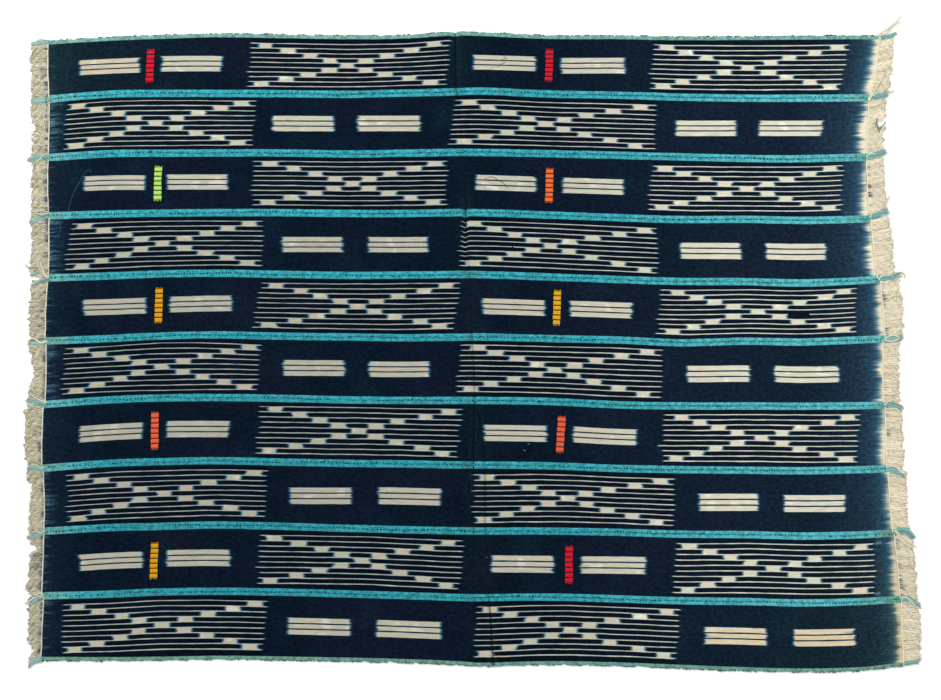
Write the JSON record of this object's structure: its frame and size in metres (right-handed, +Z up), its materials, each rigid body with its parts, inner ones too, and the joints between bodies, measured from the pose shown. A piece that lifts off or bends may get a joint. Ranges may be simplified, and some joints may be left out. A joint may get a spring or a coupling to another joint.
{
  "type": "strip-woven cloth",
  "caption": "Indigo cotton cloth of narrow woven strips sewn side by side, with resist-dyed blocks, turquoise selvedges, corded ends and a short undyed fringe, lying flat.",
  "frame": {"origin": "centre of the overall rectangle of the laid cloth, on the surface that it lies on", "axes": "X along the woven strips, from the left fringe to the right fringe; Y across the strips, with the upper edge of the picture towards +Y; Z up from the surface, out of the cloth's face"},
  "size_m": [1.7012, 1.2473, 0.0045],
  "materials": {
    "indigo_weave": "matte hand-woven cotton, dark indigo",
    "heading_cord": "matte twisted cotton cord, cream",
    "fringe": "matte undyed cotton yarn"
  },
  "bodies": {
    "root": {"woven_strip_01": "indigo_weave", "woven_strip_02": "indigo_weave", "woven_strip_03": "indigo_weave", "woven_strip_04": "indigo_weave", "woven_strip_05": "indigo_weave", "woven_strip_06": "indigo_weave", "woven_strip_07": "indigo_weave", "woven_strip_08": "indigo_weave", "woven_strip_09": "indigo_weave", "woven_strip_10": "indigo_weave", "heading_cord_left_01": "heading_cord", "heading_cord_left_02": "heading_cord", "heading_cord_left_03": "heading_cord", "heading_cord_left_04": "heading_cord", "heading_cord_left_05": "heading_cord", "heading_cord_left_06": "heading_cord", "heading_cord_left_07": "heading_cord", "heading_cord_left_08": "heading_cord", "heading_cord_left_09": "heading_cord", "heading_cord_left_10": "heading_cord", "fringe_left_01": "fringe", "fringe_left_02": "fringe", "fringe_left_03": "fringe", "fringe_left_04": "fringe", "fringe_left_05": "fringe", "fringe_left_06": "fringe", "fringe_left_07": "fringe", "fringe_left_08": "fringe", "fringe_left_09": "fringe", "fringe_left_10": "fringe", "heading_cord_right_01": "heading_cord", "heading_cord_right_02": "heading_cord", "heading_cord_right_03": "heading_cord", "heading_cord_right_04": "heading_cord", "heading_cord_right_05": "heading_cord", "heading_cord_right_06": "heading_cord", "heading_cord_right_07": "heading_cord", "heading_cord_right_08": "heading_cord", "heading_cord_right_09": "heading_cord", "heading_cord_right_10": "heading_cord", "fringe_right_01": "fringe", "fringe_right_02": "fringe", "fringe_right_03": "fringe", "fringe_right_04": "fringe", "fringe_right_05": "fringe", "fringe_right_06": "fringe", "fringe_right_07": "fringe", "fringe_right_08": "fringe", "fringe_right_09": "fringe", "fringe_right_10": "fringe"}
  },
  "joints": []
}
